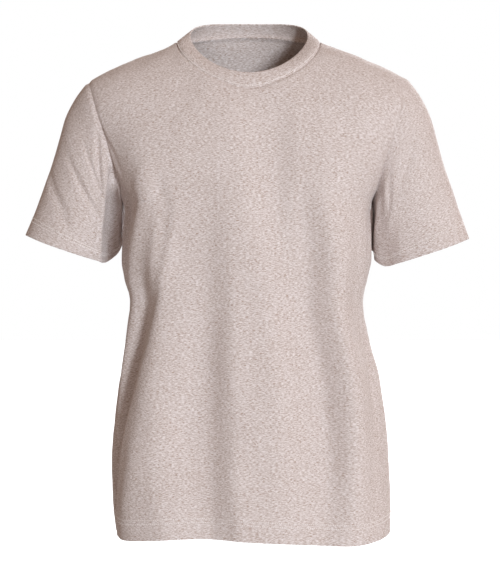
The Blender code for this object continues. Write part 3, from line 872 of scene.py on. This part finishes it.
# %% Shells
def shell(name, outer, outward, wall, flat, free_top=False, free_bottom=False):
    """A closed shell of cloth with its flat map, in metres, as the UV map."""
    rows, columns = outer.shape[:2]
    inner = outer - outward * wall[:, None, None]
    layers = [outer.reshape(-1, 3), inner.reshape(-1, 3)]
    maps = [flat.reshape(-1, 2), flat.reshape(-1, 2)]
    grid = np.arange(rows * columns).reshape(rows, columns)
    inside = grid + rows * columns
    quads = [(grid[:-1, :-1], grid[1:, :-1], grid[1:, 1:], grid[:-1, 1:]),
             (inside[:-1, :-1], inside[:-1, 1:], inside[1:, 1:], inside[1:, :-1])]
    count = 2 * rows * columns
    edges = ((0, free_top, outer[0] - outer[1]), (-1, free_bottom, outer[-1] - outer[-2]))
    for row, free, towards in edges:
        chain = [grid[row]]
        if free:
            for angle in np.linspace(0, math.pi, RIM_ROWS + 2)[1:-1]:
                middle = (outer[row] + inner[row]) / 2
                radius = wall[row] / 2
                layers.append(middle + outward[row] * radius * math.cos(angle)
                              + unit(towards) * radius * math.sin(angle))
                maps.append(flat[row])
                chain.append(np.arange(count, count + columns))
                count += columns
        chain.append(inside[row])
        for near, far in zip(chain[:-1], chain[1:]):
            if row == 0:
                quads.append((near[:-1], near[1:], far[1:], far[:-1]))
            else:
                quads.append((near[:-1], far[:-1], far[1:], near[1:]))
    quads.append((grid[:-1, 0], inside[:-1, 0], inside[1:, 0], grid[1:, 0]))
    quads.append((grid[:-1, -1], grid[1:, -1], inside[1:, -1], inside[:-1, -1]))
    faces = np.concatenate([np.stack(quad, axis=-1).reshape(-1, 4) for quad in quads])
    mesh = bpy.data.meshes.new(name)
    mesh.from_pydata(np.concatenate(layers).tolist(), [], faces.tolist())
    mesh.shade_smooth()
    mesh.set_sharp_from_angle(angle=math.radians(SHARP_ANGLE))
    spread = np.concatenate(maps)[faces.reshape(-1)]
    mesh.uv_layers.new(name="cloth").data.foreach_set("uv", spread.astype(np.float32).ravel())
    return put(name, mesh)


# %% The five pieces of cloth
SLEEVE_NAME = {RIGHT: "sleeve_right", LEFT: "sleeve_left"}
cloth = {}
for face in FACING:
    grid = sewn[face]
    walls = cloth_walls(len(grid), len(HEM_ROWS) - 2)
    cloth[face] = shell(face + "_cloth", grid, grid_normals(grid), walls, flats[face], free_bottom=True)
for side, word in SLEEVE_NAME.items():
    grid = sleeves[side]
    outward = grid_normals(grid)
    outward[:, 0] = outward[:, -1] = unit(outward[:, 0] + outward[:, -1])
    walls = cloth_walls(len(grid), len(CUFF_ROWS) - 2)
    cloth[word] = shell(word + "_cloth", grid, outward, walls, sleeve_flats[side], free_bottom=True)
walls = np.full(len(collar_grid), BAND_CLOTH)
cloth["collar"] = shell("collar_cloth", collar_grid, collar_normals, walls, collar_flat, free_top=True)
print({name: len(piece.data.polygons) for name, piece in cloth.items()})

# %% [markdown]
# ## Stitches
# Hem and cuffs are turned up and sewn with a twin needle: two rows of short stitches, side by
# side, in a pale thread. A finer row lies on the neck band, beside its seam. Bump alone would look
# flat up close, so each row is one small stitch repeated along a line of the cloth, and a piece's
# rows are joined in one mesh.

# %% One stitch
STITCH_PITCH = 0.0031
STITCH_LENGTH = 0.0025
STITCH_RADIUS = 0.00045
NECK_STITCH_PITCH = 0.0026
STITCH_RINGS = (  # place along it in lengths, then size and rise in thread radii
    (-0.5, 0.35, -0.5),
    (-0.3, 1.0, 0.45),
    (0.0, 1.0, 0.75),
    (0.3, 1.0, 0.45),
    (0.5, 0.35, -0.5),
)
STITCH_SIDES = 6


def one_stitch():
    """Points and faces of a stitch: along in lengths, aside and up in thread radii."""
    turn = np.linspace(0, 2 * math.pi, STITCH_SIDES, endpoint=False)
    points = []
    for along, size, up in STITCH_RINGS:
        aside, rise = size * np.cos(turn), up + size * np.sin(turn)
        points.append(np.stack((np.full(STITCH_SIDES, along), aside, rise), axis=-1))
    index = np.arange(len(STITCH_RINGS) * STITCH_SIDES).reshape(len(STITCH_RINGS), STITCH_SIDES)
    after = np.roll(index, -1, axis=1)
    faces = np.stack((index[:-1], index[1:], after[1:], after[:-1]), axis=-1).reshape(-1, 4)
    return np.concatenate(points), faces


STITCH_POINTS, STITCH_FACES = one_stitch()
print("faces in a stitch", len(STITCH_FACES))


# %% Rows of stitches
def at_distances(at, along, values):
    """Values of a line's points at distances along it."""
    return np.stack([np.interp(at, along, values[:, axis]) for axis in range(3)], axis=-1)


def stitch_row(points, outward, pitch):
    """Stitches along a line of the cloth: their points, all in one array."""
    along = run_lengths(points, axis=0)
    at = (np.arange(int(along[-1] / pitch)) + 0.5) * pitch
    centre = at_distances(at, along, points)
    ahead, behind = (at_distances(at + step, along, points) for step in (pitch / 4, -pitch / 4))
    forward = unit(ahead - behind)
    up = unit(at_distances(at, along, outward))
    sideways = unit(np.cross(up, forward))
    length = STITCH_LENGTH * pitch / STITCH_PITCH
    return (centre[:, None] + forward[:, None] * STITCH_POINTS[None, :, :1] * length
            + sideways[:, None] * STITCH_POINTS[None, :, 1:2] * STITCH_RADIUS
            + up[:, None] * STITCH_POINTS[None, :, 2:] * STITCH_RADIUS)


def stitch_piece(name, rows):
    """Rows of stitches as one mesh."""
    points = np.concatenate(rows)
    shift = np.arange(len(points))[:, None, None] * len(STITCH_POINTS)
    faces = (STITCH_FACES[None] + shift).reshape(-1, 4)
    mesh = bpy.data.meshes.new(name)
    mesh.from_pydata(points.reshape(-1, 3).tolist(), [], faces.tolist())
    mesh.shade_smooth()
    return put(name, mesh)


# %% Sew hem, cuffs and neck
TWIN_ROWS = {"hem": (-12, -8), "cuff": (-11, -7)}
NECK_ROW = -3


def twin_stitches(name, grid, kind):
    """The two rows of stitches along a turned edge."""
    outward = grid_normals(grid)
    rows = [stitch_row(grid[row], outward[row], STITCH_PITCH) for row in TWIN_ROWS[kind]]
    return stitch_piece(name + "_stitches", rows)


stitches = {face: twin_stitches(face, sewn[face], "hem") for face in FACING}
stitches.update({word: twin_stitches(word, sleeves[side], "cuff") for side, word in SLEEVE_NAME.items()})
neck_row = stitch_row(collar_grid[NECK_ROW], collar_normals[NECK_ROW], NECK_STITCH_PITCH)
stitches["collar"] = stitch_piece("collar_stitches", [neck_row])
print("stitches", {name: len(piece.data.polygons) for name, piece in stitches.items()})

# %% [markdown]
# ## Heather jersey
# The yarn is spun from fibres dyed before spinning, most of them a pale warm oatmeal and some
# brown-grey. A stretch of yarn that holds more of one kind shows as a short level dash, because
# the yarn runs round the cloth in courses. Under the dashes lies the knit itself, little V shaped
# loops about a millimetre wide, which catch the light only as a fine tooth. The face of worn
# jersey is matt with a faint nap, so it gets a soft sheen and hardly any shine. The pattern is laid
# out on the flat cloth, not in space, so that it bends with every fold.

# %% Sizes of the yarn and the knit
LIGHT_YARN = (0.700, 0.622, 0.607, 1)
DARK_YARN = (0.442, 0.345, 0.306, 1)
BROWN_YARN = (0.300, 0.195, 0.145, 1)
NOISE_SIZES = {  # length along the courses, height across them, seed, detail
    "sway": (0.0070, 0.0050, 2.2, 1.0),
    "dashes": (0.0045, 0.00092, 3.1, 2.0),
    "flecks": (0.0036, 0.00085, 7.7, 1.0),
    "patches": (0.045, 0.030, 5.3, 2.0),
    "nap": (0.0022, 0.0011, 1.9, 2.0),
}
SWAY = 0.0022
PATCHES_IN_TONE = 0.07
TONE_EDGES = (0.36, 0.63)
FLECK_EDGES = (0.57, 0.69)
PATCH_EDGES = (0.3, 0.7)
BROWN_SHARE = 0.75
DARK_SHARE = 0.05
WALE = 0.0011
COURSE = 0.0009
LOOP_SLANT = 1.15
LOOP_HEIGHT = 0.55
LOOP_IN_RIB = 0.5
RIB_PITCH = 0.0023
RIB_HEIGHT = 0.9
NAP_HEIGHT = 1.3
KNIT_BUMP = 0.55
BUMP_DEPTH = 0.0003
print("loops to the metre", round(1 / WALE), "courses", round(1 / COURSE))


# %% Heather and knit
def yarn_noise(name, flat_x, flat_y):
    """Uneven values stretched along the courses."""
    long, high, seed, detail = NOISE_SIZES[name]
    place = flat_x.node("ShaderNodeCombineXYZ", X=flat_x / long, Y=flat_y / high, Z=seed)
    return place.node("ShaderNodeTexNoise", Vector=place, Scale=1.0, Detail=detail, Roughness=0.6)


def heather(flat_x, flat_y):
    """Colour of the yarn over the flat cloth."""
    waved = flat_y + (yarn_noise("sway", flat_x, flat_y) - 0.5) * SWAY
    dashes = yarn_noise("dashes", flat_x, waved)
    flecks = yarn_noise("flecks", flat_x, waved)
    patches = yarn_noise("patches", flat_x, flat_y)
    tone = (dashes + (patches - 0.5) * PATCHES_IN_TONE).ramp(*TONE_EDGES)
    colour = tone.blend(DARK_YARN, LIGHT_YARN)
    colour = (flecks.ramp(*FLECK_EDGES) * BROWN_SHARE).blend(colour, BROWN_YARN)
    return (patches.ramp(*PATCH_EDGES) * DARK_SHARE).blend(colour, DARK_YARN)


def knit_height(flat_x, flat_y, rib):
    """Height of the loops, the ribs and the nap."""
    leg = (flat_x / WALE).math("FRACT") - 0.5
    loop = (flat_y / COURSE + leg.math("ABSOLUTE") * LOOP_SLANT).math("FRACT")
    height = (loop * math.pi).math("SINE") * (leg * math.pi).math("COSINE")
    if rib:
        height = height * LOOP_IN_RIB + (flat_x / RIB_PITCH * (2 * math.pi)).math("SINE") * RIB_HEIGHT
    return height * LOOP_HEIGHT + yarn_noise("nap", flat_x, flat_y) * NAP_HEIGHT


# %% Cloth materials
def knit(name, rib=False):
    """A knit material from the cloth's own flat map."""
    material = bpy.data.materials.new(name)
    material.use_nodes = True
    tree = material.node_tree
    shader = tree.nodes["Principled BSDF"]
    flat = Wire(tree, None).node("ShaderNodeUVMap", {"uv_map": "cloth"})
    flat_x = flat.node("ShaderNodeSeparateXYZ", Vector=flat)
    flat_y = flat_x.output(1)
    colour = heather(flat_x, flat_y)
    height = knit_height(flat_x, flat_y, rib)
    raised = flat.node("ShaderNodeBump", Strength=KNIT_BUMP, Distance=BUMP_DEPTH, Height=height)
    tree.links.new(colour.socket, shader.inputs["Base Color"])
    tree.links.new(raised.socket, shader.inputs["Normal"])
    shader.inputs["Roughness"].default_value = 0.92
    shader.inputs["Specular IOR Level"].default_value = 0.18
    shader.inputs["Sheen Weight"].default_value = 0.16
    shader.inputs["Sheen Roughness"].default_value = 0.5
    shader.inputs["Sheen Tint"].default_value = (1.0, 0.95, 0.92, 1)
    return material


KNITS = {"jersey": knit("jersey"), "rib": knit("rib", rib=True)}
print("nodes", {name: len(material.node_tree.nodes) for name, material in KNITS.items()})

# %% Thread
thread = bpy.data.materials.new("thread")
thread.use_nodes = True
thread_shader = thread.node_tree.nodes["Principled BSDF"]
thread_shader.inputs["Base Color"].default_value = (0.780, 0.710, 0.680, 1)
thread_shader.inputs["Roughness"].default_value = 0.6
thread_shader.inputs["Specular IOR Level"].default_value = 0.3
print("materials", [material.name for material in (*KNITS.values(), thread)])

# %% [markdown]
# ## Put each piece on its part
# The fine cloth stands for the solid walls of the same names. Each grid's width along the cloth
# and its area are measured, with the turned hems counted once, as they show, but not used.

# %% Riding, materials and measures
def grid_area(points):
    """Area of a grid of cloth."""
    one = np.cross(points[1:, :-1] - points[:-1, :-1], points[:-1, 1:] - points[:-1, :-1])
    two = np.cross(points[1:, 1:] - points[:-1, 1:], points[1:, 1:] - points[1:, :-1])
    return float((np.linalg.norm(one, axis=-1) + np.linalg.norm(two, axis=-1)).sum() / 2)


GRIDS = {"front": smooth["front"], "back": smooth["back"], "sleeve_right": sleeves[RIGHT],
         "sleeve_left": sleeves[LEFT], "collar": collar_grid}
for name, grid in GRIDS.items():
    across = float(run_lengths(grid, axis=1)[:, -1].max())
    area = grid_area(grid)
    kind = "rib" if name == "collar" else "jersey"
    for piece in (cloth[name], stitches[name]):
        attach(piece, "root")
    cloth[name].data.materials.append(KNITS[kind])
    stitches[name].data.materials.append(thread)
    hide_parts(name)
